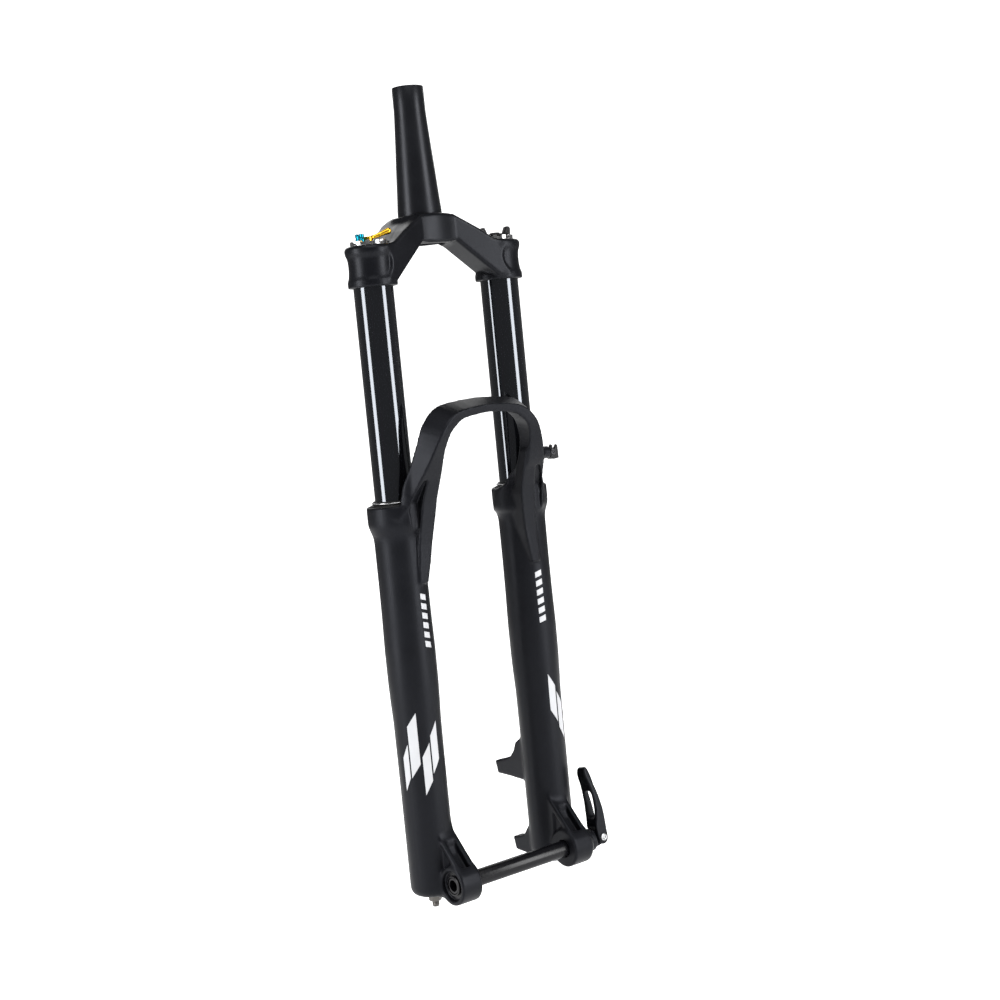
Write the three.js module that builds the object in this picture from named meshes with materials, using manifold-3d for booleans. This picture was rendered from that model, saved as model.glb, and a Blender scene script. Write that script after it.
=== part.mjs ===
// Telescopic mountain-bike suspension fork, built as an assembly.
// Units are millimetres. +Z runs up the steering axis, the wheel rolls towards -Y,
// and +X is the rider's left. The origin is the centre of the crown race seat.
import * as THREE from 'three';
import { mergeVertices } from 'three/addons/utils/BufferGeometryUtils.js';
import Module from 'manifold-3d';

const wasm = await Module();
wasm.setup();

// ---------------------------------------------------------------- driving dimensions
const LEG_SPACING = 142;
const CROWN_OFFSET = 16.6;
const RAKE = 51;
const AXLE_HEIGHT = 589;
const STEERER_LENGTH = 116;
const STANCHION_DIAMETER = 35;
const HUB_WIDTH = 110;
const AXLE_DIAMETER = 15;
const BRAKE_BOLT_SPACING = 74.2;
const GAP = 0.3;

// ---------------------------------------------------------------- derived positions
const legX = LEG_SPACING / 2;
const legY = -CROWN_OFFSET;
const axleY = -RAKE;
const axleZ = -AXLE_HEIGHT;
const stanchionR = STANCHION_DIAMETER / 2;
const stanchionBore = stanchionR - 2;
const stanchionTop = -25.3;
const stanchionBottom = -412;
const bootTop = -25;
const bootBottom = -61;
const bootR = 22;
const raceR = 19.9;
const capBottom = bootTop + GAP;
const collarTop = -251.7;
const collarR = 25.7;
const legBottom = -602;
const legFloor = -588;
const legBore = 19;
const dropInner = HUB_WIDTH / 2;
const dropOuter = 77;
const bossR = 17.3;
const axleR = AXLE_DIAMETER / 2;
const springTop = -64;
const springBottom = -330;
const shaftR = 5;
const FINE = 26;
const MID = 18;
const COARSE = 12;

// ---------------------------------------------------------------- materials
function paint(colour, roughness, metalness) {
  return new THREE.MeshStandardMaterial({ color: colour, roughness, metalness });
}
const MAT = {
  anodBlack: paint(0x0c0c0e, 0.35, 0.7),
  castBlack: paint(0x111113, 0.55, 0.3),
  stanchion: paint(0x050506, 0.12, 0.8),
  silver: paint(0xb9bbbe, 0.3, 1.0),
  steel: paint(0x9a9da1, 0.35, 1.0),
  gold: paint(0xd19a1e, 0.3, 0.9),
  blue: paint(0x0b6f8f, 0.35, 0.85),
  rubber: paint(0x0a0a0a, 0.8, 0.0),
  foam: paint(0x3a3a3c, 0.95, 0.0),
  bushing: paint(0x6c675e, 0.6, 0.3),
  bronze: paint(0x8a6a3a, 0.45, 0.9),
  plastic: paint(0x1d1d20, 0.6, 0.0),
};

// ---------------------------------------------------------------- geometry helpers
// Welds a geometry into a closed triangle mesh without zero-area faces.
function weld(geometry) {
  const bare = geometry.clone();
  bare.deleteAttribute('normal');
  bare.deleteAttribute('uv');
  const merged = mergeVertices(bare, 1e-4);
  const index = merged.index.array;
  const kept = [];
  for (let i = 0; i < index.length; i += 3) {
    const [a, b, c] = [index[i], index[i + 1], index[i + 2]];
    if (a !== b && b !== c && c !== a) kept.push(a, b, c);
  }
  merged.setIndex(kept);
  return merged;
}

function solid(geometry) {
  const merged = weld(geometry);
  return new wasm.Manifold(new wasm.Mesh({
    numProp: 3,
    vertProperties: new Float32Array(merged.attributes.position.array),
    triVerts: new Uint32Array(merged.index.array),
  }));
}

function union(...geometries) {
  let result = solid(geometries[0]);
  for (const geometry of geometries.slice(1)) result = result.add(solid(geometry));
  return result;
}

function cut(body, ...geometries) {
  let result = body;
  for (const geometry of geometries) result = result.subtract(solid(geometry));
  return result;
}

function toGeometry(body) {
  const mesh = body.getMesh();
  const geometry = new THREE.BufferGeometry();
  geometry.setAttribute('position', new THREE.BufferAttribute(new Float32Array(mesh.vertProperties), 3));
  geometry.setIndex(new THREE.BufferAttribute(new Uint32Array(mesh.triVerts), 1));
  return geometry;
}

const group = new THREE.Group();
group.name = 'suspension_fork';

function addPart(name, shape, material) {
  const geometry = weld(shape instanceof THREE.BufferGeometry ? shape : toGeometry(shape));
  geometry.computeVertexNormals();
  const mesh = new THREE.Mesh(geometry, material);
  mesh.name = name;
  group.add(mesh);
}

// Profile points are [radius, height]; they run up the outside and down the inside.
function turned(profile, segments = FINE) {
  const points = profile.map(([r, z]) => new THREE.Vector2(r, z));
  const first = points[0];
  const last = points[points.length - 1];
  const onAxis = first.x === 0 && last.x === 0;
  if (!onAxis) points.push(first.clone());
  return new THREE.LatheGeometry(points, segments).rotateX(Math.PI / 2);
}

function tube(inner, outer, bottom, top, segments = FINE) {
  return turned([[inner, bottom], [outer, bottom], [outer, top], [inner, top]], segments);
}

function rod(radius, bottom, top, segments = MID) {
  return turned([[0, bottom], [radius, bottom], [radius, top], [0, top]], segments);
}

// Turns a shape built on the Z axis so that it lies along +X.
function alongX(geometry) {
  return geometry.rotateY(Math.PI / 2);
}

// Turns a shape built on the Z axis so that it lies along +Y.
function alongY(geometry) {
  return geometry.rotateX(-Math.PI / 2);
}

function outline(points) {
  return new THREE.Shape(points.map(([a, b]) => new THREE.Vector2(a, b)));
}

// Outline in X-Z, thick along Y from back to front.
function plateXZ(shape, yBack, yFront) {
  const depth = yBack - yFront;
  return new THREE.ExtrudeGeometry(shape, { depth, bevelEnabled: false, curveSegments: 8 })
    .rotateX(Math.PI / 2)
    .translate(0, yBack, 0);
}

// Outline in Y-Z, thick along X from xLow to xHigh.
function plateYZ(shape, xLow, xHigh) {
  return new THREE.ExtrudeGeometry(shape, { depth: xHigh - xLow, bevelEnabled: false, curveSegments: 8 })
    .applyMatrix4(new THREE.Matrix4().set(0, 0, 1, 0, 1, 0, 0, 0, 0, 1, 0, 0, 0, 0, 0, 1))
    .translate(xLow, 0, 0);
}

function mirrored(geometry) {
  const copy = weld(geometry);
  copy.scale(-1, 1, 1);
  const index = copy.index.array;
  for (let i = 0; i < index.length; i += 3) {
    [index[i], index[i + 1]] = [index[i + 1], index[i]];
  }
  return copy;
}

function coil(radius, wire, bottom, top, turns, stepsPerTurn = 14, sides = 6) {
  class Helix extends THREE.Curve {
    getPoint(t) {
      const angle = 2 * Math.PI * turns * t;
      const z = bottom + wire + (top - bottom - 2 * wire) * t;
      return new THREE.Vector3(radius * Math.cos(angle), radius * Math.sin(angle), z);
    }
  }
  const section = new THREE.Shape().absarc(0, 0, wire, 0, 2 * Math.PI);
  return new THREE.ExtrudeGeometry(section, {
    steps: Math.round(turns * stepsPerTurn),
    curveSegments: sides / 2,
    extrudePath: new Helix(),
  });
}

const SIDES = [['right', -legX], ['left', legX]];

// ---------------------------------------------------------------- steerer and crown
function steerer() {
  const taperEnd = 95;
  const raceStep = 6;
  const bottom = -22;
  return turned([
    [16.5, bottom], [raceR - GAP, bottom], [raceR - GAP, -0.5], [raceR, 0.2], [raceR, raceStep],
    [18.4, 30], [16.2, 62], [14.3, taperEnd], [14.3, STEERER_LENGTH - 0.8], [13.5, STEERER_LENGTH],
    [12.2, STEERER_LENGTH], [12.2, taperEnd], [14.2, 60], [16.5, 10],
  ], FINE);
}

function boot() {
  const waist = 19.8;
  return turned([
    [0, bootBottom], [bootR - 1.2, bootBottom], [bootR - 0.2, bootBottom + 1.2], [bootR - 0.2, bootBottom + 5],
    [waist + 0.5, bootBottom + 10], [waist, bootBottom + 18], [waist + 0.5, bootTop - 10],
    [bootR, bootTop - 4], [bootR, bootTop - 1.4], [bootR - 1.4, bootTop], [0, bootTop],
  ], FINE);
}

function crown() {
  const blockHalf = 18.5;
  const blockFront = -26.6;
  const blockBottom = -24;
  const armDepth = 29;
  const armSweep = 0.24;
  const arm = plateXZ(outline([
    [0, 0], [blockHalf, 0], [54, -20.5], [64, -24], [64, bootBottom + 2], [58, bootBottom + 2],
    [blockHalf, blockBottom], [0, blockBottom],
  ]), blockFront + armDepth, blockFront);
  const sweep = new THREE.Matrix4().set(1, 0, 0, 0, -armSweep, 1, 0, armSweep * blockHalf, 0, 0, 1, 0, 0, 0, 0, 1);
  arm.applyMatrix4(sweep);
  const block = plateXZ(outline([
    [-blockHalf, 0], [-blockHalf, blockBottom], [blockHalf, blockBottom], [blockHalf, 0],
  ]), 0, blockFront);
  const head = turned([[0, blockBottom], [25, blockBottom], [26, blockBottom + 2], [26, -1], [25, 0], [0, 0]]);
  const boots = SIDES.map(([, x]) => boot().translate(x, legY, 0));
  const bores = SIDES.map(([, x]) => rod(stanchionR + GAP, bootBottom - 1, bootTop + 1, FINE).translate(x, legY, 0));
  const capSeats = SIDES.map(([, x]) => rod(17, bootTop, bootTop + 20, FINE).translate(x, legY, 0));
  const steererBore = rod(raceR, blockBottom - 1, 1, FINE);
  const relief = plateXZ(outline([[24, -60], [24, -33], [52, -60]]), 40, -60);
  const body = union(block, head, arm, mirrored(arm), ...boots);
  return cut(body, ...bores, ...capSeats, steererBore, relief, mirrored(relief));
}

function stanchion() {
  const lead = 1.2;
  return turned([
    [stanchionBore, stanchionBottom], [stanchionR - lead, stanchionBottom],
    [stanchionR, stanchionBottom + lead], [stanchionR, stanchionTop],
    [stanchionBore, stanchionTop],
  ], FINE);
}

// Threaded plug with a notched flange that a cap tool grips, and a groove for its seal.
const sealLow = -34;
const sealHigh = -31;
function topCap(boreR) {
  const flangeR = 16.4;
  const flangeTop = capBottom + 4;
  const plugR = stanchionBore - GAP;
  const notches = 8;
  const body = solid(turned([
    [boreR, -44], [plugR - 1, -44], [plugR, -43], [plugR, sealLow], [13.4, sealLow],
    [13.4, sealHigh], [plugR, sealHigh], [plugR, capBottom], [flangeR, capBottom],
    [flangeR, flangeTop - 0.6], [flangeR - 0.6, flangeTop], [12.6, flangeTop], [12.2, flangeTop - 1.2],
    [boreR, flangeTop - 1.2],
  ], 32));
  const cuts = [];
  for (let i = 0; i < notches; i += 1) {
    const angle = (i * 2 * Math.PI) / notches;
    const slot = new THREE.BoxGeometry(4.6, 3.4, 4).translate(flangeR + 0.6, 0, flangeTop);
    cuts.push(slot.rotateZ(angle));
  }
  return cut(body, ...cuts);
}

addPart('steerer_tube', steerer(), MAT.anodBlack);
addPart('crown', crown(), MAT.anodBlack);
for (const [side, x] of SIDES) {
  addPart(`stanchion_${side}`, stanchion().translate(x, legY, 0), MAT.stanchion);
}

// ---------------------------------------------------------------- damper leg, upper end
const capTop = capBottom + 2.8;
const knobOffset = { x: -8.1, y: 1.2 };
const needleR = 1.6;
{
  const knobBore = rod(2.2, -50, 0, COARSE).translate(knobOffset.x, knobOffset.y, 0);
  const cap = cut(topCap(2.4), knobBore);
  addPart('damper_top_cap', toGeometry(cap).translate(-legX, legY, 0), MAT.silver);
}

function lockoutLever() {
  const hubR = 3.9;
  const hubBottom = capTop + GAP;
  const armRise = 0.3;
  const hub = turned([[0, -40], [2.1, -40], [2.1, hubBottom], [hubR, hubBottom], [hubR, hubBottom + 3.6],
    [hubR - 0.8, hubBottom + 4.4], [0, hubBottom + 4.4]], MID);
  const arm = new THREE.BoxGeometry(17, 3.6, 2.8).translate(8.5, 0, hubBottom + 2.6);
  arm.applyMatrix4(new THREE.Matrix4().set(1, 0, 0, 0, 0, 1, 0, 0, armRise, 0, 1, 0, 0, 0, 0, 1));
  const bulb = new THREE.SphereGeometry(3.1, 16, 10).rotateX(Math.PI / 2).translate(17.6, 0, hubBottom + 8);
  return toGeometry(union(hub, arm, bulb)).rotateZ(-0.45);
}
addPart('lockout_lever', lockoutLever().translate(-legX, legY, 0), MAT.gold);

function compressionKnob() {
  const bottom = capTop + GAP;
  const top = bottom + 7;
  const rim = 4;
  const body = solid(turned([[0, bottom], [rim, bottom], [rim, bottom + 2.4], [rim - 0.7, bottom + 3],
    [rim - 0.7, bottom + 3.8], [rim, bottom + 4.4], [rim, top - 0.6], [rim - 0.6, top], [0, top]], MID));
  const slot = new THREE.BoxGeometry(9, 1.4, 1.8).translate(0, 0, top);
  return cut(body, slot);
}
addPart('compression_knob', toGeometry(compressionKnob()).rotateZ(0.6)
  .translate(-legX + knobOffset.x, legY + knobOffset.y, 0), MAT.blue);

addPart('compression_needle', turned([[0, -58], [needleR, -54], [needleR, capTop - 0.4], [0, capTop - 0.4]], COARSE)
  .translate(-legX + knobOffset.x, legY + knobOffset.y, 0), MAT.steel);

// Cartridge that hangs below the cap: valve, tube, seal head.
const cartridgeTop = -96;
const cartridgeBottom = -388;
addPart('compression_valve', turned([[4, -74], [13.2, -74], [13.2, -70], [11, -69], [11, -64], [13.2, -63],
  [13.2, -60], [4, -60]], MID).translate(-legX, legY, 0), MAT.bronze);
addPart('oil_bladder', turned([[10.2, -94], [12.6, -94], [12.9, -90], [11.8, -86], [12.9, -82], [12.6, -76],
  [10.2, -76]], MID).translate(-legX, legY, 0), MAT.rubber);
addPart('damper_tube', tube(13.5, 14.7, cartridgeBottom, -59, MID).translate(-legX, legY, 0), MAT.steel);
addPart('damper_seal_head', turned([[shaftR + 0.1, cartridgeBottom - 10], [14.6, cartridgeBottom - 10],
  [14.6, cartridgeBottom - GAP], [13.1, cartridgeBottom - GAP], [13.1, cartridgeBottom + 8],
  [shaftR + 0.1, cartridgeBottom + 8]], MID).translate(-legX, legY, 0), MAT.anodBlack);
addPart('divider_plate', tube(3, 13.2, cartridgeTop - 4, cartridgeTop, MID).translate(-legX, legY, 0), MAT.bronze);

// ---------------------------------------------------------------- spring leg, upper end
addPart('spring_top_cap', toGeometry(topCap(4.2)).translate(legX, legY, 0), MAT.silver);

function preloadKnob() {
  const bottom = capTop + GAP;
  const discTop = bottom + 2.4;
  const lugTop = discTop + 6.6;
  const disc = turned([[0, -52], [3.6, -52], [3.6, bottom], [11.6, bottom], [12, bottom + 0.5],
    [12, discTop - 0.5], [11.4, discTop], [0, discTop]], MID + 4);
  const lug = outline([[8.6, discTop - 0.5], [14.6, discTop - 0.5], [14.6, lugTop - 1.6], [13, lugTop],
    [10.8, lugTop], [8.6, discTop + 2.2]]);
  const right = plateXZ(lug, 2.6, -2.6);
  const hub = rod(4.6, discTop - 1, discTop + 1.4, COARSE);
  return union(disc, right, mirrored(right), hub);
}
addPart('preload_knob', toGeometry(preloadKnob()).rotateZ(-0.35).translate(legX, legY, 0), MAT.plastic);
addPart('preload_plunger', turned([[0, -63], [12.4, -63], [13.4, -62], [13.4, -57], [12.6, -56],
  [5.6, -56], [5.6, -53], [0, -53]], MID).translate(legX, legY, 0), MAT.plastic);
const mainSpring = coil(10.8, 2.1, springBottom + GAP, springTop + 0.4, 13, 10, 6);
addPart('main_spring', mainSpring.translate(legX, legY, 0), MAT.steel);
// The guide sits far enough up the stanchion to leave room for the bumper at full travel.
const guideBottom = stanchionBottom + 18;
const guideTop = guideBottom + 16;
addPart('spring_shaft_guide', turned([[shaftR + 0.1, guideBottom], [15, guideBottom],
  [15.2, guideBottom + 1], [15.2, guideTop], [shaftR + 0.1, guideTop]], MID)
  .translate(legX, legY, 0), MAT.anodBlack);
addPart('top_out_spring', coil(9.6, 1.3, guideTop + GAP, springBottom - 13.2, 4, 12, 4)
  .translate(legX, legY, 0), MAT.steel);
for (const [side, x] of SIDES) {
  const ring = tube(13.7, stanchionBore - 0.2, sealLow + 0.3, sealHigh - 0.3, MID);
  addPart(`cap_seal_${side}`, ring.translate(x, legY, 0), MAT.rubber);
}

// ---------------------------------------------------------------- lower casting
function legBody() {
  const toe = legBottom;
  return turned([
    [0, toe], [14.5, toe], [18.2, toe + 1.6], [20.2, toe + 5], [20.9, toe + 10], [21, -511], [21.2, -452],
    [22.3, -411], [22.5, -381], [21.8, -340], [21.8, -288], [23.4, -277], [collarR - 0.2, -269],
    [collarR, -266], [collarR, collarTop - 1.2], [collarR - 1.2, collarTop], [0, collarTop],
  ], FINE);
}

function legCavity() {
  const sealSeat = collarTop - 13;
  const foamSeat = sealSeat - 12;
  return turned([
    [0, legBottom - 2], [5.2, legBottom - 2], [5.2, legFloor], [legBore - 3, legFloor], [legBore, legFloor + 3],
    [legBore, foamSeat], [21.4, foamSeat], [21.4, sealSeat], [23, sealSeat], [23, collarTop + 1], [0, collarTop + 1],
  ], FINE);
}

// Leaning hoop over the tyre, joined to the collars and to a brace down each leg.
function arch() {
  const lean = 0.34;
  const rise = 80;
  const shoulder = { x: 56, z: 61 };
  const foot = { x: 73, z: -14 };
  const path = new THREE.CurvePath();
  const v = (x, z) => new THREE.Vector3(x, z, 0);
  const side = (s) => [v(s * foot.x, foot.z), v(s * 71, 10), v(s * 63.5, 42), v(s * shoulder.x, shoulder.z)];
  const top = (s) => [v(s * shoulder.x, shoulder.z), v(s * 51, 74), v(s * 30, rise), v(0, rise)];
  path.add(new THREE.CubicBezierCurve3(...side(-1)));
  path.add(new THREE.CubicBezierCurve3(...top(-1)));
  path.add(new THREE.CubicBezierCurve3(...top(1).reverse()));
  path.add(new THREE.CubicBezierCurve3(...side(1).reverse()));
  const band = outline([[-10, -4], [-8, -5.5], [8, -5.5], [10, -4], [10.5, 3], [8, 5.5], [-9, 5.5], [-10.5, 3]]);
  const hoop = new THREE.ExtrudeGeometry(band, { steps: 32, extrudePath: path });
  const tilt = new THREE.Matrix4().set(1, 0, 0, 0, 0, -lean, -1, -37, 0, 1, -lean, -254, 0, 0, 0, 1);
  return hoop.applyMatrix4(tilt);
}

function braces() {
  const web = outline([[-24, -320], [-30, -309], [-37, -286], [-48.5, -254], [-58.5, -226], [-62, -212], [-58, -206],
    [-50, -226], [-30, -256], [-22, -290]]);
  const plate = plateYZ(web, 50, 57);
  const flare = new THREE.Matrix4().set(1, 0, -0.05, -13.2, 0, 1, 0, 0, 0, 0, 1, 0, 0, 0, 0, 1);
  return plate.applyMatrix4(flare);
}

// Collar of metal that wraps the front of each seal head and carries the foot of the arch.
function scoop() {
  const wedge = plateYZ(outline([[-48, -270], [-8, -270], [-12, -254], [-24, -247], [-36, -236], [-44, -221],
    [-48, -218]]), legX - 30, legX + 15);
  const wrap = rod(collarR + 1.6, -268, -210, FINE).translate(legX, legY, 0);
  return toGeometry(solid(wrap).intersect(solid(wedge)));
}

function dropout() {
  const boss = alongX(tube(axleR + GAP, bossR, dropInner, dropOuter, FINE)).translate(0, axleY, axleZ);
  const rib = (x0, x1, top) => plateYZ(outline([
    [legY - 2, legBottom + 1], [legY - 10, legBottom + 1], [axleY, axleZ - bossR + 1], [axleY, axleZ], [axleY - bossR + 3.5, axleZ + 9],
    [axleY - 9, axleZ + 17], [legY - 17, top], [legY - 2, top + 8],
  ]), x0, x1);
  const heel = plateYZ(outline([
    [legY, legBottom + 1], [legY - 10, legBottom + 1], [axleY, axleZ - bossR + 1.5], [axleY, axleZ + bossR - 2], [legY, axleZ + 22],
  ]), dropInner + 1, dropOuter - 1);
  return [boss, rib(dropInner + 1, dropInner + 5.5, axleZ + 50), rib(dropOuter - 6, dropOuter - 1.5, axleZ + 38), heel];
}

// Two posts for a brake caliper, on the back of the left leg.
const postLean = 0.23;
const postUpper = { y: 37.5, z: -521.5 };
const postLower = {
  y: postUpper.y - BRAKE_BOLT_SPACING * Math.sin(postLean),
  z: postUpper.z - BRAKE_BOLT_SPACING * Math.cos(postLean),
};
const postX = 60;
function brakePosts() {
  const halfWidth = 6;
  const upper = plateYZ(new THREE.Shape()
    .moveTo(legY + 6, postUpper.z - 11)
    .lineTo(postUpper.y - 1.4, postUpper.z - 6)
    .lineTo(postUpper.y + 1.4, postUpper.z + 6)
    .quadraticCurveTo(legY + 30, postUpper.z + 7, legY + 20, postUpper.z + 24)
    .lineTo(legY + 6, postUpper.z + 32), postX - halfWidth, postX + halfWidth);
  const lower = plateYZ(new THREE.Shape()
    .moveTo(legY + 6, postLower.z - 8)
    .lineTo(postLower.y - 1.4, postLower.z - 6)
    .lineTo(postLower.y + 1.4, postLower.z + 6)
    .quadraticCurveTo(legY + 24, postLower.z + 8, legY + 16, postLower.z + 18)
    .lineTo(legY + 6, postLower.z + 22), postX - halfWidth, postX + halfWidth);
  return [upper, lower];
}

function boltHole(post) {
  return alongY(rod(2.6, -14, 4, COARSE)).rotateX(-postLean).translate(postX, post.y, post.z);
}

function lowerCasting() {
  const rightDrop = dropout();
  const parts = [
    legBody().translate(-legX, legY, 0), legBody().translate(legX, legY, 0),
    arch(), braces(), mirrored(braces()), scoop(), mirrored(scoop()),
    ...rightDrop, ...rightDrop.map(mirrored), ...brakePosts(),
  ];
  const counterbore = new THREE.CylinderGeometry(9.4, 9.4, 8, FINE).rotateZ(Math.PI / 2);
  const insertSeat = counterbore.clone().translate(-dropOuter + 1, axleY, axleZ);
  const headSeat = counterbore.clone().translate(dropOuter - 1, axleY, axleZ);
  const sealRoom = SIDES.map(([, x]) => rod(22.8, collarTop - 2, collarTop + 60, FINE).translate(x, legY, 0));
  return cut(union(...parts),
    legCavity().translate(-legX, legY, 0), legCavity().translate(legX, legY, 0),
    ...sealRoom,
    alongX(rod(axleR + GAP, -90, 90, FINE)).translate(0, axleY, axleZ),
    insertSeat, headSeat, boltHole(postUpper), boltHole(postLower));
}
addPart('lower_casting', lowerCasting(), MAT.castBlack);

// ---------------------------------------------------------------- sleeves and seals in each leg
for (const [side, x] of SIDES) {
  const lip = collarTop + 4.4;
  addPart(`wiper_seal_${side}`, turned([
    [18.6, collarTop - 12.6], [22.6, collarTop - 12.6], [22.6, collarTop + 0.2], [21.4, collarTop + 1.2],
    [19.2, collarTop + 1.4], [19.2, lip], [17.6, lip], [18.6, lip - 6],
  ]).translate(x, legY, 0), MAT.rubber);
  addPart(`garter_spring_${side}`, turned([
    [19.5, lip - 1.6], [20.2, lip - 2.3], [20.9, lip - 1.6], [20.2, lip - 0.9],
  ]).translate(x, legY, 0), MAT.silver);
  addPart(`foam_ring_${side}`, tube(17.8, 21.1, collarTop - 24, collarTop - 13.2).translate(x, legY, 0), MAT.foam);
  addPart(`upper_bushing_${side}`, tube(17.6, 18.7, -306, -281).translate(x, legY, 0), MAT.bushing);
  addPart(`lower_bushing_${side}`, tube(17.6, 18.7, -410, -385).translate(x, legY, 0), MAT.bushing);
}

// ---------------------------------------------------------------- damper shaft and spring shaft
const footTop = legFloor + GAP;
const pistonZ = -330;
addPart('damper_shaft', turned([[0, footTop], [8, footTop], [8, footTop + 6], [shaftR, footTop + 10],
  [shaftR, pistonZ - 6.3], [3, pistonZ - 6.3], [3, pistonZ + 9], [0, pistonZ + 9]], MID)
  .translate(-legX, legY, 0), MAT.steel);
addPart('rebound_piston', turned([[3.2, pistonZ - 6], [12.4, pistonZ - 6], [13, pistonZ - 5], [13, pistonZ + 5],
  [12.4, pistonZ + 6], [3.2, pistonZ + 6]], MID).translate(-legX, legY, 0), MAT.bronze);
addPart('spring_shaft', turned([[0, footTop], [8, footTop], [8, footTop + 6], [shaftR, footTop + 10],
  [shaftR, springBottom - 12.3], [3, springBottom - 12.3], [3, springBottom + 6], [0, springBottom + 6]], MID)
  .translate(legX, legY, 0), MAT.steel);
addPart('spring_seat', turned([[3.2, springBottom - 12], [13, springBottom - 12], [13.4, springBottom - 11],
  [13.4, springBottom - 1], [12.8, springBottom], [7.6, springBottom], [7.2, springBottom + 8],
  [3.2, springBottom + 8]], MID).translate(legX, legY, 0), MAT.plastic);
const bumperLow = footTop + 10 + GAP;
addPart('bottom_out_bumper', turned([[shaftR + 0.2, bumperLow], [9.5, bumperLow], [10.5, bumperLow + 2.5],
  [8.8, bumperLow + 5], [10.5, bumperLow + 7.5], [9, bumperLow + 12], [shaftR + 0.2, bumperLow + 12]], MID)
  .translate(legX, legY, 0), MAT.rubber);

// Foot bolts pull the shafts down onto the floor of each leg.
function footNut(boreR) {
  const top = legBottom - GAP;
  const body = solid(turned([[boreR, top - 6.6], [5.4, top - 6.6], [6, top - 6], [6, top - 2], [8, top - 1.6],
    [8, top], [boreR, top]], MID));
  const flats = [];
  for (let i = 0; i < 6; i += 1) {
    flats.push(new THREE.BoxGeometry(4, 8, 4.7).translate(7.2, 0, top - 4.4).rotateZ((i * Math.PI) / 3));
  }
  return cut(body, ...flats);
}
addPart('foot_nut_right', toGeometry(footNut(3.4)).translate(-legX, legY, 0), MAT.silver);
addPart('foot_nut_left', toGeometry(footNut(3.4)).translate(legX, legY, 0), MAT.silver);
addPart('rebound_adjuster', turned([[0, legBottom - 12.5], [2.6, legBottom - 12.5], [3.1, legBottom - 12],
  [3.1, footTop - 0.4], [0, footTop - 0.4]], COARSE).translate(-legX, legY, 0), MAT.gold);
addPart('foot_screw_left', turned([[0, legBottom - 8.6], [3.1, legBottom - 8.6], [3.1, footTop - 0.4],
  [0, footTop - 0.4]], COARSE).translate(legX, legY, 0), MAT.steel);

// ---------------------------------------------------------------- axle and quick-release lever
const leverTilt = -0.16;
const pinX = 99;
const leverBase = 93.6;
addPart('axle_thread_insert', alongX(tube(axleR + 0.15, 9.1, -dropOuter + 1.4, -dropOuter + 4.6, MID))
  .translate(0, axleY, axleZ), MAT.steel);
addPart('axle_collar', alongX(turned([[axleR + 0.15, dropOuter - 4.5], [9.1, dropOuter - 4.5],
  [9.1, dropOuter + GAP], [13.5, dropOuter + GAP], [12, dropOuter + 5], [axleR + 0.15, dropOuter + 5]], MID))
  .translate(0, axleY, axleZ), MAT.anodBlack);

function axle() {
  const clevis = plateXZ(outline([[dropOuter + 5.4, -8], [pinX + 4, -5.5], [pinX + 6, 0], [pinX + 4, 5.5],
    [dropOuter + 5.4, 8]]), 3.2, -3.2);
  const shaft = alongX(turned([[5.2, -dropOuter + 2], [axleR - 0.9, -dropOuter + 2], [axleR, -dropOuter + 3.4],
    [axleR, dropOuter + 6], [10.4, dropOuter + 6], [10.4, dropOuter + 11], [9, dropOuter + 12.4],
    [0, dropOuter + 12.4], [0, dropOuter - 12], [5.2, dropOuter - 14]], MID));
  const pinHole = alongY(rod(2.6, -8, 8, COARSE)).translate(pinX, 0, 0);
  return cut(union(shaft, clevis.clone()), pinHole);
}
addPart('axle', toGeometry(axle()).rotateX(leverTilt).translate(0, axleY, axleZ), MAT.stanchion);
addPart('cam_pin', alongY(turned([[0, -8.4], [2.9, -8.4], [3.4, -7.8], [3.4, -6.9], [2.3, -6.6], [2.3, 6.6],
  [3.4, 6.9], [3.4, 7.8], [2.9, 8.4], [0, 8.4]], COARSE)).translate(pinX, 0, 0)
  .rotateX(leverTilt).translate(0, axleY, axleZ), MAT.silver);

function axleLever() {
  const profile = new THREE.Shape()
    .moveTo(pinX - 4.6, -3)
    .quadraticCurveTo(pinX - 3, -7.4, pinX + 2, -6.6)
    .quadraticCurveTo(pinX + 7.4, -5, pinX + 6.4, 3)
    .quadraticCurveTo(pinX + 6.5, 28, pinX + 1, 50)
    .quadraticCurveTo(pinX - 1, 62, leverBase + 1.6, 67)
    .quadraticCurveTo(leverBase - 0.2, 66, leverBase + 0.2, 60)
    .quadraticCurveTo(pinX + 1.2, 36, leverBase + 1, 12)
    .lineTo(leverBase + 0.4, 5);
  const body = solid(plateXZ(profile, 6.4, -6.4));
  const fork = new THREE.BoxGeometry(30, 7, 22).translate(pinX, 0, -1);
  const window = new THREE.BoxGeometry(30, 4.4, 22).translate(pinX, 0, 30);
  const taperLine = (s) => outline([[s * 20, 26], [s * 20, 80], [s * 4, 80], [s * 4.2, 64], [s * 6, 44]]);
  const hole = alongY(rod(2.45, -9, 9, COARSE)).translate(pinX, 0, 0);
  return cut(body, fork, window, hole, plateYZ(taperLine(1), 80, 120), plateYZ(taperLine(-1), 80, 120));
}
addPart('axle_lever', toGeometry(axleLever()).rotateX(leverTilt).translate(0, axleY, axleZ), MAT.anodBlack);

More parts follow.
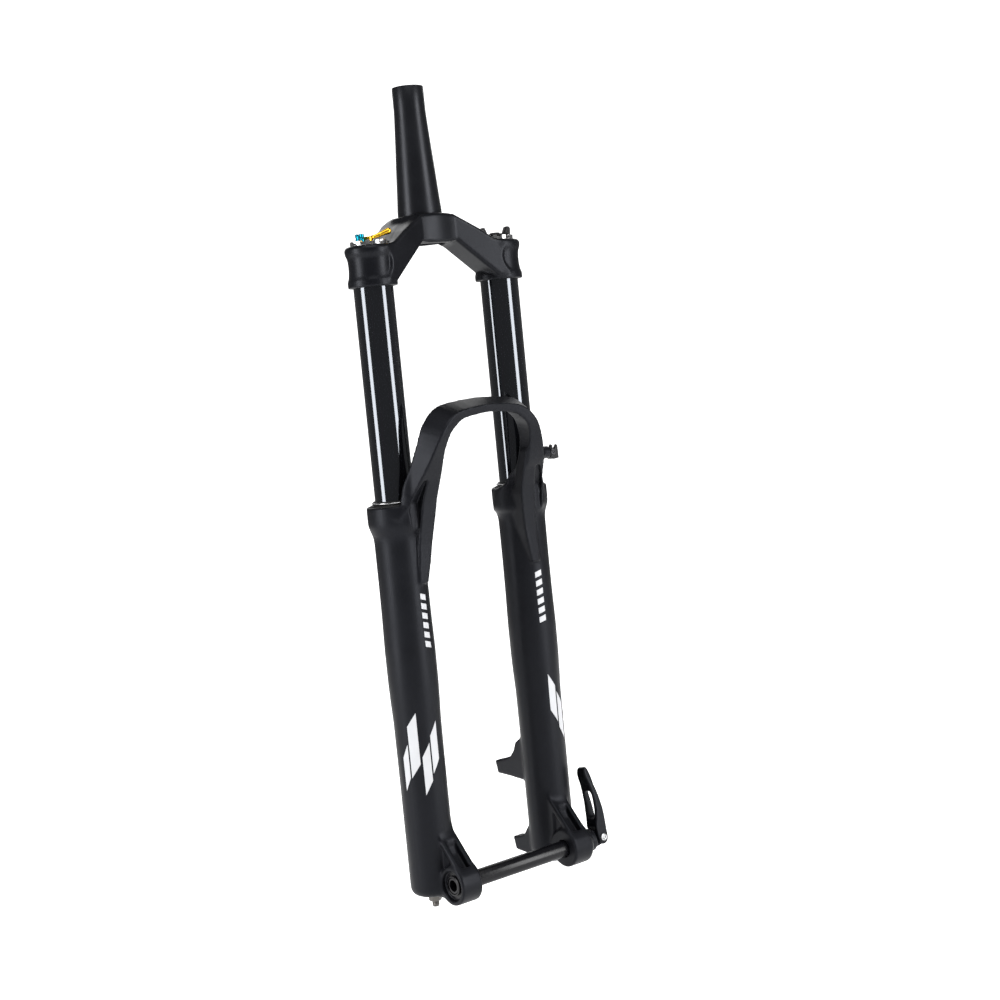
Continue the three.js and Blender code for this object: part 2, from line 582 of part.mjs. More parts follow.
// ---------------------------------------------------------------- brake hose guide on the arch
const guide = { x: 78.6, y: -53, z: -222 };
function hoseGuide() {
  const body = plateXZ(new THREE.Shape()
    .moveTo(0, -4.5).lineTo(4, -7).lineTo(9.4, -6.5).lineTo(9, 5.5).lineTo(7.2, 6.5).lineTo(5, 2.5)
    .lineTo(0, 4.5), 5, -5);
  const screwHole = new THREE.CylinderGeometry(2, 2, 30, COARSE).translate(2, 0, 0);
  const groove = new THREE.CylinderGeometry(2.4, 2.4, 30, COARSE).rotateX(Math.PI / 2).translate(7.6, 0, 0.5);
  return toGeometry(cut(solid(body), screwHole, groove)).translate(guide.x, guide.y, guide.z);
}
addPart('hose_guide', hoseGuide(), MAT.plastic);
addPart('hose_guide_screw', new THREE.CylinderGeometry(1.8, 1.8, 9, COARSE).translate(2, 0, 0)
  .translate(guide.x, guide.y, guide.z), MAT.silver);

export default group;
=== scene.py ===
"""Suspension fork: smooth cast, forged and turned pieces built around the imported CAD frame."""
import math

import bmesh
import bpy
import numpy as np
from mathutils import Matrix, Vector


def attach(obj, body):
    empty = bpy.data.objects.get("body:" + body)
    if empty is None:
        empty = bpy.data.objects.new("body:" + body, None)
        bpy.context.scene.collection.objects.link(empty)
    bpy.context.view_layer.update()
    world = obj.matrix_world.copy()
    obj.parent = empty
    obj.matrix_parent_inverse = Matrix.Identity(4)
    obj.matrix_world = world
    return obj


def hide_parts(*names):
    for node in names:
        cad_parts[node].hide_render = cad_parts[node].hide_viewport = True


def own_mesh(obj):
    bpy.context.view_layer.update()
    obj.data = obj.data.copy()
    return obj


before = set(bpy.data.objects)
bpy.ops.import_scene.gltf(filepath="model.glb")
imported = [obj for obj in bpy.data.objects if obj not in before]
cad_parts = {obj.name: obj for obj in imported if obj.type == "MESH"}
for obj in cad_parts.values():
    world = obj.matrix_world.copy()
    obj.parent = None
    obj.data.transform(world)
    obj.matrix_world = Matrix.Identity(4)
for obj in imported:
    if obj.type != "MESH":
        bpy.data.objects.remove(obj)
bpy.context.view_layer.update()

# ------------------------------------------------------------------ dimensions, mm
LEG_X, LEG_Y = 71.0, -16.6
AXLE_Y, AXLE_Z = -51.0, -589.0
STANCHION_R = 17.5
BOOT_TOP, BOOT_BOTTOM = -25.0, -61.0
COLLAR_TOP, COLLAR_R = -251.7, 25.7
LEG_BOTTOM, LEG_FLOOR = -602.0, -588.0
LEG_BORE = 19.0
DROP_IN, DROP_OUT = 55.0, 77.0
BOSS_R, AXLE_R = 17.3, 7.5
LEVER_TILT = -0.16
PIN_X, LEVER_BASE = 99.0, 93.6
CAP_Z = BOOT_TOP + 0.3
CAP_FACE = CAP_Z + 2.8


# ------------------------------------------------------------------ signed distance fields
def smin(a, b, k):
    h = np.maximum(k - np.abs(a - b), 0.0) / k
    return np.minimum(a, b) - h * h * k * 0.25


def smax(a, b, k):
    return -smin(-a, -b, k)


class Field:
    """Signed distance on a grid, in millimetres, negative inside the metal."""

    def __init__(self, low, high, step):
        self.step = step
        self.low = np.array(low, float)
        counts = np.ceil((np.array(high, float) - self.low) / step).astype(int) + 1
        self.axes = [self.low[i] + step * np.arange(counts[i]) for i in range(3)]
        self.d = np.full(counts, 50.0, np.float32)

    def window(self, low, high):
        cuts = []
        for axis, a, b in zip(self.axes, low, high):
            first = max(0, int(np.searchsorted(axis, a)) - 1)
            cuts.append(slice(first, min(len(axis), int(np.searchsorted(axis, b)) + 1)))
        grids = np.meshgrid(*[axis[c] for axis, c in zip(self.axes, cuts)], indexing="ij", sparse=True)
        return tuple(cuts), grids

    def add(self, shape, low, high, k=0.6):
        pad = k + 3 * self.step
        cuts, grids = self.window([v - pad for v in low], [v + pad for v in high])
        self.d[cuts] = smin(self.d[cuts], shape(*grids), k)

    def cut(self, shape, low, high, k=0.6):
        pad = k + 3 * self.step
        cuts, grids = self.window([v - pad for v in low], [v + pad for v in high])
        self.d[cuts] = smax(self.d[cuts], -shape(*grids), k)

    def mirror_x(self):
        """Doubles a field that starts at x = 0 into both halves."""
        self.d = np.concatenate([self.d[:0:-1], self.d], axis=0)
        self.axes[0] = np.concatenate([-self.axes[0][:0:-1], self.axes[0]])
        self.low[0] = self.axes[0][0]


def sample(values, points):
    """Trilinear value of a grid at fractional grid points."""
    top = np.array(values.shape) - 2
    base = np.clip(np.floor(points).astype(int), 0, top)
    f = points - base
    total = np.zeros(len(points))
    for i in (0, 1):
        wx = f[:, 0] if i else 1 - f[:, 0]
        for j in (0, 1):
            wy = f[:, 1] if j else 1 - f[:, 1]
            for k in (0, 1):
                wz = f[:, 2] if k else 1 - f[:, 2]
                total += wx * wy * wz * values[base[:, 0] + i, base[:, 1] + j, base[:, 2] + k]
    return total


def skin(field):
    """Surface-nets mesh of the zero level, pulled onto the level by two Newton steps."""
    values = field.d.astype(np.float64)
    inside = values < 0
    nx, ny, nz = values.shape
    count = np.zeros((nx - 1, ny - 1, nz - 1), np.uint8)
    for i in (0, 1):
        for j in (0, 1):
            for k in (0, 1):
                count += inside[i:nx - 1 + i, j:ny - 1 + j, k:nz - 1 + k]
    active = (count > 0) & (count < 8)
    cells = np.argwhere(active)
    number = np.full(active.shape, -1, np.int64)
    number[active] = np.arange(len(cells))
    total = np.zeros((len(cells), 3))
    hits = np.zeros(len(cells))
    for axis in range(3):
        others = [a for a in range(3) if a != axis]
        for i in (0, 1):
            for j in (0, 1):
                start = cells.copy()
                start[:, others[0]] += i
                start[:, others[1]] += j
                end = start.copy()
                end[:, axis] += 1
                a = values[tuple(start.T)]
                b = values[tuple(end.T)]
                cross = (a < 0) != (b < 0)
                point = (start - cells).astype(float)
                point[:, axis] = np.where(cross, a / np.where(cross, a - b, 1.0), 0.0)
                total += point * cross[:, None]
                hits += cross
    points = cells + total / hits[:, None]
    half = 0.5
    for _ in range(2):
        value = sample(values, points)
        slope = np.zeros_like(points)
        for axis in range(3):
            step = np.zeros(3)
            step[axis] = half
            slope[:, axis] = sample(values, points + step) - sample(values, points - step)
        move = (value / np.maximum((slope ** 2).sum(1), 1e-6))[:, None] * slope
        length = np.linalg.norm(move, axis=1)[:, None]
        points -= move * np.minimum(1.0, 0.4 / np.maximum(length, 1e-9))
    faces = []
    for axis in range(3):
        a, b = [(1, 2), (2, 0), (0, 1)][axis]
        low = [slice(None)] * 3
        high = [slice(None)] * 3
        low[axis] = slice(0, -1)
        high[axis] = slice(1, None)
        first, second = inside[tuple(low)], inside[tuple(high)]
        edges = np.argwhere(first != second)
        keep = (edges[:, a] > 0) & (edges[:, b] > 0)
        keep &= (edges[:, a] < values.shape[a] - 1) & (edges[:, b] < values.shape[b] - 1)
        edges = edges[keep]
        ring = []
        for da, db in ((-1, -1), (0, -1), (0, 0), (-1, 0)):
            cell = edges.copy()
            cell[:, a] += da
            cell[:, b] += db
            ring.append(number[tuple(cell.T)])
        quad = np.stack(ring, 1)
        flip = ~first[tuple(edges.T)]
        quad[flip] = quad[flip][:, ::-1]
        faces.append(quad)
    return field.low + points * field.step, np.concatenate(faces)


def polygon(u, v, corners):
    """Signed distance to a closed 2-D outline."""
    best = None
    sign = None
    count = len(corners)
    for i in range(count):
        (ax, ay), (bx, by) = corners[i], corners[(i + 1) % count]
        ex, ey = bx - ax, by - ay
        t = np.clip(((u - ax) * ex + (v - ay) * ey) / (ex * ex + ey * ey), 0, 1)
        far = (u - ax - ex * t) ** 2 + (v - ay - ey * t) ** 2
        best = far if best is None else np.minimum(best, far)
        above, below = v >= ay, v < by
        side = ex * (v - ay) > ey * (u - ax)
        flip = (above & below & side) | (~above & ~below & ~side)
        sign = np.where(flip, -1.0, 1.0) if sign is None else np.where(flip, -sign, sign)
    return sign * np.sqrt(best)


def slab(flat, across, half, edge):
    """Solid between a 2-D distance and |across| < half, with rounded edges."""
    a, b = flat + edge, np.abs(across) - half + edge
    return np.sqrt(np.maximum(a, 0) ** 2 + np.maximum(b, 0) ** 2) + np.minimum(np.maximum(a, b), 0) - edge


def prism_x(corners, low, high, edge=1.2):
    mid, half = (low + high) / 2, (high - low) / 2
    return lambda x, y, z: slab(polygon(y, z, corners), x - mid, half, edge)


def prism_y(corners, low, high, edge=1.2):
    mid, half = (low + high) / 2, (high - low) / 2
    return lambda x, y, z: slab(polygon(x, z, corners), y - mid, half, edge)


def rod_x(radius, low, high, y0=0.0, z0=0.0, edge=0.4):
    mid, half = (low + high) / 2, (high - low) / 2
    return lambda x, y, z: slab(np.hypot(y - y0, z - z0) - radius, x - mid, half, edge)


def rod_y(radius, low, high, x0=0.0, z0=0.0, edge=0.4):
    mid, half = (low + high) / 2, (high - low) / 2
    return lambda x, y, z: slab(np.hypot(x - x0, z - z0) - radius, y - mid, half, edge)


def rod_z(radius, low, high, x0=0.0, y0=0.0, edge=0.4):
    mid, half = (low + high) / 2, (high - low) / 2
    return lambda x, y, z: slab(np.hypot(x - x0, y - y0) - radius, z - mid, half, edge)


def block(cx, cy, cz, hx, hy, hz, edge=1.0):
    def shape(x, y, z):
        q = [np.abs(x - cx) - hx + edge, np.abs(y - cy) - hy + edge, np.abs(z - cz) - hz + edge]
        out = np.sqrt(sum(np.maximum(a, 0) ** 2 for a in q))
        return out + np.minimum(np.maximum(np.maximum(q[0], q[1]), q[2]), 0) - edge
    return shape


def capsule(a, b, ra, rb):
    a, b = np.array(a, float), np.array(b, float)
    d = b - a

    def shape(x, y, z):
        t = np.clip(((x - a[0]) * d[0] + (y - a[1]) * d[1] + (z - a[2]) * d[2]) / (d @ d), 0, 1)
        far = (x - a[0] - d[0] * t) ** 2 + (y - a[1] - d[1] * t) ** 2 + (z - a[2] - d[2] * t) ** 2
        return np.sqrt(far) - (ra + (rb - ra) * t)
    return shape


def smooth_radius(knots, blur):
    """Radius along z through the knots, with the corners softened."""
    zs = np.arange(knots[0][0] - 20, knots[-1][0] + 20, 0.5)
    rs = np.interp(zs, [k[0] for k in knots], [k[1] for k in knots])
    taps = np.exp(-0.5 * (np.arange(-40, 41) * 0.5 / blur) ** 2)
    rs = np.convolve(np.pad(rs, 40, mode="edge"), taps / taps.sum(), mode="valid")
    return lambda z: np.interp(z, zs, rs)


# ------------------------------------------------------------------ materials
def ramp(nodes, links, source, low, high, at=(0.3, 0.7)):
    node = nodes.new("ShaderNodeMapRange")
    node.inputs["From Min"].default_value, node.inputs["From Max"].default_value = at
    node.inputs["To Min"].default_value, node.inputs["To Max"].default_value = low, high
    links.new(source, node.inputs["Value"])
    return node.outputs["Result"]


def material(name, colour, rough, metallic=0.0, *, vary=0.06, patch=60.0, grain=900.0, bump=0.00002,
             stretch=(1, 1, 1), coat=0.0, coat_rough=0.1, specular=0.5, tint=0.12, sheen=0.0,
             shine=(1, 1, 1)):
    """Principled surface with fine grain, broad wear in the gloss and slight colour drift."""
    mat = bpy.data.materials.new(name)
    mat.use_nodes = True
    nodes, links = mat.node_tree.nodes, mat.node_tree.links
    shader = nodes["Principled BSDF"]
    shader.inputs["Metallic"].default_value = metallic
    shader.inputs["Coat Weight"].default_value = coat
    shader.inputs["Coat Roughness"].default_value = coat_rough
    shader.inputs["Specular IOR Level"].default_value = specular
    shader.inputs["Sheen Weight"].default_value = sheen
    shader.inputs["Specular Tint"].default_value = (*shine, 1)
    coords = nodes.new("ShaderNodeTexCoord")
    mapping = nodes.new("ShaderNodeMapping")
    mapping.inputs["Scale"].default_value = stretch
    links.new(coords.outputs["Object"], mapping.inputs["Vector"])

    def noise(scale, detail, vector):
        node = nodes.new("ShaderNodeTexNoise")
        node.inputs["Scale"].default_value = scale
        node.inputs["Detail"].default_value = detail
        links.new(vector, node.inputs["Vector"])
        return node.outputs["Fac"]

    broad = noise(patch, 5.0, coords.outputs["Object"])
    fine = noise(grain, 3.0, mapping.outputs["Vector"])
    both = nodes.new("ShaderNodeMath")
    both.operation = "MULTIPLY_ADD"
    links.new(fine, both.inputs[0])
    both.inputs[1].default_value = 0.4
    links.new(broad, both.inputs[2])
    links.new(ramp(nodes, links, both.outputs[0], rough - vary, rough + vary, (0.45, 0.95)),
              shader.inputs["Roughness"])
    mix = nodes.new("ShaderNodeMix")
    mix.data_type = "RGBA"
    mix.inputs["A"].default_value = (*[c * (1 - tint) for c in colour], 1)
    mix.inputs["B"].default_value = (*[min(1.0, c * (1 + tint)) for c in colour], 1)
    links.new(ramp(nodes, links, broad, 0.0, 1.0), mix.inputs["Factor"])
    links.new(mix.outputs["Result"], shader.inputs["Base Color"])
    if bump:
        node = nodes.new("ShaderNodeBump")
        node.inputs["Strength"].default_value = 1.0
        node.inputs["Distance"].default_value = bump
        links.new(fine, node.inputs["Height"])
        links.new(node.outputs["Normal"], shader.inputs["Normal"])
    return mat


MATS = {
    "cast_black": material("cast_black", (0.003, 0.0032, 0.0042), 0.43, vary=0.05, grain=1300, bump=0.000018,
                           patch=35, specular=0.125, shine=(0.86, 0.89, 1)),
    "anod_black": material("anod_black", (0.003, 0.0032, 0.0042), 0.37, vary=0.04, grain=2400, bump=0.000006,
                           patch=50, specular=0.14, shine=(0.88, 0.91, 1)),
    "steerer_black": material("steerer_black", (0.004, 0.0042, 0.0052), 0.34, vary=0.04, grain=300,
                              bump=0.000006,
                              stretch=(1, 1, 14), patch=30, specular=0.18, shine=(0.88, 0.91, 1)),
    "stanchion_black": material("stanchion_black", (0.0022, 0.0023, 0.003), 0.07, vary=0.008, patch=25,
                                grain=300, bump=0.0, specular=0.8, shine=(0.87, 0.92, 1)),
    "silver": material("silver", (0.36, 0.36, 0.365), 0.27, 1.0, vary=0.07, grain=700, stretch=(1, 1, 6),
                       bump=0.000012, tint=0.06),
    "steel": material("steel", (0.42, 0.43, 0.45), 0.3, 1.0, vary=0.08, grain=500, stretch=(1, 1, 10),
                      bump=0.00001, tint=0.08),
    "gold": material("gold", (0.72, 0.42, 0.03), 0.28, 1.0, vary=0.06, grain=1500, bump=0.00001, tint=0.08),
    "blue": material("blue", (0.006, 0.17, 0.24), 0.27, 1.0, vary=0.06, grain=1500, bump=0.00001, tint=0.1),
    "seal_rubber": material("seal_rubber", (0.006, 0.006, 0.0065), 0.62, vary=0.08, grain=2200, bump=0.00003,
                            specular=0.2),
    "foam": material("foam", (0.09, 0.09, 0.095), 0.95, vary=0.04, grain=1400, bump=0.0003, specular=0.2,
                     sheen=0.3),
    "bushing": material("bushing", (0.26, 0.24, 0.2), 0.6, vary=0.08, grain=900, bump=0.00002, specular=0.3),
    "bronze": material("bronze", (0.52, 0.34, 0.15), 0.34, 1.0, vary=0.08, grain=800, stretch=(1, 1, 6),
                       bump=0.00001),
    "black_plastic": material("black_plastic", (0.006, 0.006, 0.007), 0.46, vary=0.07, grain=1800,
                              bump=0.00004, specular=0.2),
    "decal_white": material("decal_white", (0.4, 0.405, 0.42), 0.4, vary=0.05, grain=1500, bump=0.000004,
                            tint=0.02, specular=0.4),
}
MATS["axle_black"] = material("axle_black", (0.003, 0.003, 0.004), 0.26, vary=0.04, grain=600, bump=0.000004,
                             stretch=(10, 1, 1), specular=0.2)
MATS["dark_steel"] = material("dark_steel", (0.025, 0.025, 0.028), 0.38, 0.7, vary=0.06, grain=700,
                              bump=0.00001)
MATS["foot_steel"] = material("foot_steel", (0.085, 0.08, 0.075), 0.3, 1.0, vary=0.08, grain=700,
                              bump=0.00001)


# ------------------------------------------------------------------ pieces
def piece(name, points, faces, mat, body, replaces=(), sharp=None):
    mesh = bpy.data.meshes.new(name)
    mesh.from_pydata((np.asarray(points) * 0.001).tolist(), [], [list(map(int, f)) for f in faces])
    mesh.validate()
    mesh.shade_smooth()
    if sharp is not None:
        mesh.set_sharp_from_angle(angle=math.radians(sharp))
    mesh.materials.append(MATS[mat])
    obj = bpy.data.objects.new(name, mesh)
    bpy.context.scene.collection.objects.link(obj)
    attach(obj, body)
    if replaces:
        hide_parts(*replaces)
    return obj


def solid(name, field, mat, body, replaces=(), turn=None):
    points, faces = skin(field)
    if turn is not None:
        points = points @ np.array(turn[0]).T + np.array(turn[1])
    return piece(name, points, faces, mat, body, replaces)


def turned(name, profile, mat, body, replaces=(), centre=(0, 0, 0), segments=96, shape=None, along="z"):
    """Closed profile of (radius, height), spun; shape may alter each point by its angle."""
    rows = len(profile)
    points = []
    for s in range(segments):
        angle = 2 * math.pi * s / segments
        for i, (r, z) in enumerate(profile):
            if shape is not None:
                r, z = shape(angle, i, r, z)
            points.append((r * math.cos(angle), r * math.sin(angle), z))
    faces = []
    for s in range(segments):
        t = (s + 1) % segments
        for i in range(rows):
            j = (i + 1) % rows
            if profile[i][0] < 1e-6 and profile[j][0] < 1e-6:
                continue
            faces.append((s * rows + i, t * rows + i, t * rows + j, s * rows + j))
    points = np.array(points)
    if along == "x":
        points = points[:, [2, 1, 0]] * np.array([1, 1, -1])
    points += np.array(centre, float)
    obj = piece(name, points, faces, mat, body, replaces)
    weld(obj)
    obj.data.set_sharp_from_angle(angle=math.radians(32))
    return obj


def face_out(obj):
    """Turns every face of a closed mesh outwards."""
    bm = bmesh.new()
    bm.from_mesh(obj.data)
    bmesh.ops.recalc_face_normals(bm, faces=bm.faces)
    bm.to_mesh(obj.data)
    bm.free()


def weld(obj):
    """Merges the points that meet on the axis."""
    bm = bmesh.new()
    bm.from_mesh(obj.data)
    bmesh.ops.remove_doubles(bm, verts=bm.verts, dist=1e-7)
    bmesh.ops.dissolve_degenerate(bm, edges=bm.edges, dist=1e-7)
    bm.to_mesh(obj.data)
    bm.free()
    obj.data.shade_smooth()


SIDES = (("right", -LEG_X), ("left", LEG_X))


def coil(name, radius, wire, low, high, turns, centre, mat, body, replaces):
    """Closed round-wire coil along z."""
    steps, ring = turns * 36, 12
    points = []
    for i in range(steps + 1):
        t = i / steps
        height = low + wire + (high - low - 2 * wire) * t
        a = 2 * math.pi * turns * t
        for j in range(ring):
            b = 2 * math.pi * j / ring
            r = radius + wire * math.cos(b)
            points.append((centre[0] + r * math.cos(a), centre[1] + r * math.sin(a),
                           height + wire * math.sin(b)))
    faces = []
    for i in range(steps):
        for j in range(ring):
            k = (j + 1) % ring
            faces.append((i * ring + j, (i + 1) * ring + j, (i + 1) * ring + k, i * ring + k))
    faces.append(tuple(range(ring)))
    faces.append(tuple(range(steps * ring, steps * ring + ring)))
    obj = piece(name, points, faces, mat, body, replaces, sharp=50)
    face_out(obj)
    return obj


# ------------------------------------------------------------------ steerer and stanchions
turned("steerer", [(16.5, -22), (19.4, -22), (19.6, -21.8), (19.6, -0.5), (19.9, 0.2), (19.9, 6), (19.6, 10),
                   (18.9, 20), (18.2, 32), (17.4, 45), (16.5, 58), (15.6, 72), (14.9, 84), (14.45, 92),
                   (14.3, 97),
                   (14.3, 115.2), (14.0, 115.8), (13.5, 116), (12.6, 116), (12.2, 115.6), (12.2, 95),
                   (14.2, 60),
                   (16.5, 10)], "steerer_black", "crown_unit", ("steerer_tube",))
for side, x in SIDES:
    turned(f"inner_leg_{side}", [(15.5, -412), (16.3, -412), (17.5, -410.8), (17.5, -25.3), (15.5, -25.3)],
           "stanchion_black", "crown_unit", (f"stanchion_{side}",), (x, LEG_Y, 0), 128)


# ------------------------------------------------------------------ crown
def crown_field():
    field = Field((0, -46, -64), (98, 32, 4), 0.9)
    radius = smooth_radius([(-62, 21.8), (-55.5, 21.8), (-52, 20.5), (-47, 19.9), (-41, 19.8), (-36, 20.2),
                            (-32.5, 21.5), (-31, 22.0), (-27.5, 22.0), (-25, 20.2), (-24, 19.5)], 0.8)

    def boot(x, y, z):
        rho = np.hypot(x - LEG_X, y - LEG_Y)
        return smax(rho - radius(z), np.maximum(z - BOOT_TOP, BOOT_BOTTOM - z), 1.6)

    half, front, depth, sweep = 18.5, -26.6, 29.0, 0.24
    arm_line = [(-6, 0), (half, 0), (30, -6.8), (42, -14.0), (51, -20.2), (56, -23.2), (62, -24.6),
                (69, -25.6),
                (69.4, -28.5), (66.2, -32.5), (64.2, -36.5), (63.5, -41), (64.2, -45.5), (66.2, -49.5),
                (69.4, -54), (69, -59), (60, -59), (56.5, -57.4),
                (half + 0.4, -24), (-6, -24)]

    rear_line = arm_line[:8] + [(69, -40), (60, -42), (half, -13.5), (-6, -13.5)]

    def arm(x, y, z):
        ahead = y + sweep * np.maximum(x - half, 0)
        return slab(polygon(x, z, arm_line), ahead - front - depth / 2, depth / 2, 3.0)

    def rear(x, y, z):
        behind = y + 0.7 * np.maximum(x - 26, 0)
        return slab(polygon(x, z, rear_line), behind - 10, 16, 3.0)

    def core(x, y, z):
        return slab(np.hypot(x, y) - 26, z + 12, 12, 1.6)

    low, high = (0, -46, -64), (98, 32, 4)
    field.add(arm, low, high)
    field.add(rear, low, high)
    field.add(core, low, high, 5.0)
    field.add(boot, low, high, 1.6)
    relief = [(25, -64), (25, -36), (50, -64)]
    field.cut(prism_y(relief, -60, 40, 2.0), low, high, 3.0)
    field.cut(rod_z(STANCHION_R + 0.3, -70, -20, LEG_X, LEG_Y), low, high, 0.8)
    field.cut(rod_z(17.0, BOOT_TOP, 20, LEG_X, LEG_Y, 0.1), (50, -36, -25.5), (92, 4, 4), 0.4)
    field.cut(rod_z(19.9, -30, 10), low, high, 0.8)
    field.mirror_x()
    return field


solid("crown_forging", crown_field(), "anod_black", "crown_unit", ("crown",))

# ------------------------------------------------------------------ lower casting
leg_radius = smooth_radius([(-603, 20.9), (-585, 20.95), (-511, 21.0), (-471, 21.1), (-443, 21.3),
                            (-428, 21.9),
                            (-411, 22.35), (-381, 22.5), (-351, 21.9), (-321, 21.7), (-284, 21.8),
                            (-279, 22.1), (-269, 25.6), (-266, 25.7), (-250, 25.7)], 2.0)
# stations of the arch from the collar up to the middle:
# front ridge, rear edge, inner rear edge, inner front edge
ARCH = [((88, -38.2, -267), (91, -30, -263), (62, -26, -268), (64, -36, -271)),
        ((75.5, -46.5, -250), (80, -38, -247), (52, -24, -249), (55, -34, -252)),
        ((70, -57, -230), (74, -44, -226), (49, -42, -233), (51, -53, -235)),
        ((65.5, -63.5, -218), (70.5, -47, -214), (49, -49, -219), (49.5, -61, -222)),
        ((60.2, -69, -205), (67, -50.5, -202), (48.5, -52, -207), (48, -66.5, -206)),
        ((53, -73.2, -191), (61.5, -53, -186), (45.5, -53, -192), (44, -71, -193)),
        ((42, -74, -179.5), (51, -54, -174), (38, -53.8, -183), (36, -72, -185.5)),
        ((28, -74, -174.3), (34, -54, -167.8), (26, -54, -177), (25, -72, -180.5)),
        ((0, -74, -172), (0, -54, -165), (0, -54, -174), (0, -72, -178)),
        ((-12, -74, -172.6), (-12, -54, -165.6), (-12, -54, -174.6), (-12, -72, -178.6))]


def subdivided(rows, parts):
    """Smooth curve through the stations, sampled several times between each pair."""
    rows = np.array(rows, float)
    padded = np.concatenate([2 * rows[:1] - rows[1:2], rows, 2 * rows[-1:] - rows[-2:-1]])
    out = []
    for i in range(1, len(rows)):
        a, b, c, d = padded[i - 1], padded[i], padded[i + 1], padded[i + 2]
        for t in np.arange(parts) / parts:
            out.append(0.5 * (2 * b + (c - a) * t + (2 * a - 5 * b + 4 * c - d) * t * t
                              + (3 * b - a - 3 * c + d) * t ** 3))
    return np.array(out + [rows[-1]])


def arch_shape(x, y, z):
    """Four-edged loft through the stations, with softened edges."""
    rows = subdivided(ARCH, 3)
    centre = rows.mean(axis=1)
    tangent = np.gradient(centre, axis=0)
    tangent /= np.linalg.norm(tangent, axis=1)[:, None]
    across = np.cross(np.array([0, -1, 0]) + 0 * tangent, tangent)
    across /= np.linalg.norm(across, axis=1)[:, None]
    ahead = np.cross(tangent, across)
    shape = np.broadcast(x, y, z).shape
    px, py, pz = (np.broadcast_to(v, shape) for v in (x, y, z))
    best = np.full(shape, 1e9)
    seg = np.zeros(shape, int)
    frac = np.zeros(shape)
    for i in range(len(centre) - 1):
        a, e = centre[i], centre[i + 1] - centre[i]
        t = np.clip(((px - a[0]) * e[0] + (py - a[1]) * e[1] + (pz - a[2]) * e[2]) / (e @ e), 0, 1)
        far = (px - a[0] - e[0] * t) ** 2 + (py - a[1] - e[1] * t) ** 2 + (pz - a[2] - e[2] * t) ** 2
        near = far < best
        best = np.where(near, far, best)
        seg = np.where(near, i, seg)
        frac = np.where(near, t, frac)

    def blend(values):
        return values[seg] * (1 - frac)[..., None] + values[seg + 1] * frac[..., None]

    offset = np.stack([px, py, pz], -1) - blend(centre)
    ax_u, ax_v, ax_t = blend(across), blend(ahead), blend(tangent)
    u, v = (offset * ax_u).sum(-1), (offset * ax_v).sum(-1)
    beyond = np.abs((offset * ax_t).sum(-1))
    corners = []
    for n in range(4):
        arm = rows[:, n] - centre
        corner_u = (arm * across).sum(1)
        corner_v = (arm * ahead).sum(1)
        corners.append((corner_u[seg] * (1 - frac) + corner_u[seg + 1] * frac,
                        corner_v[seg] * (1 - frac) + corner_v[seg + 1] * frac))
    flat = polygon(u, v, corners)
    outside = np.hypot(np.maximum(flat, 0), np.maximum(beyond - 0.5, 0))
    return np.where((flat > 0) | (beyond > 0.5), outside, flat) - 0.5


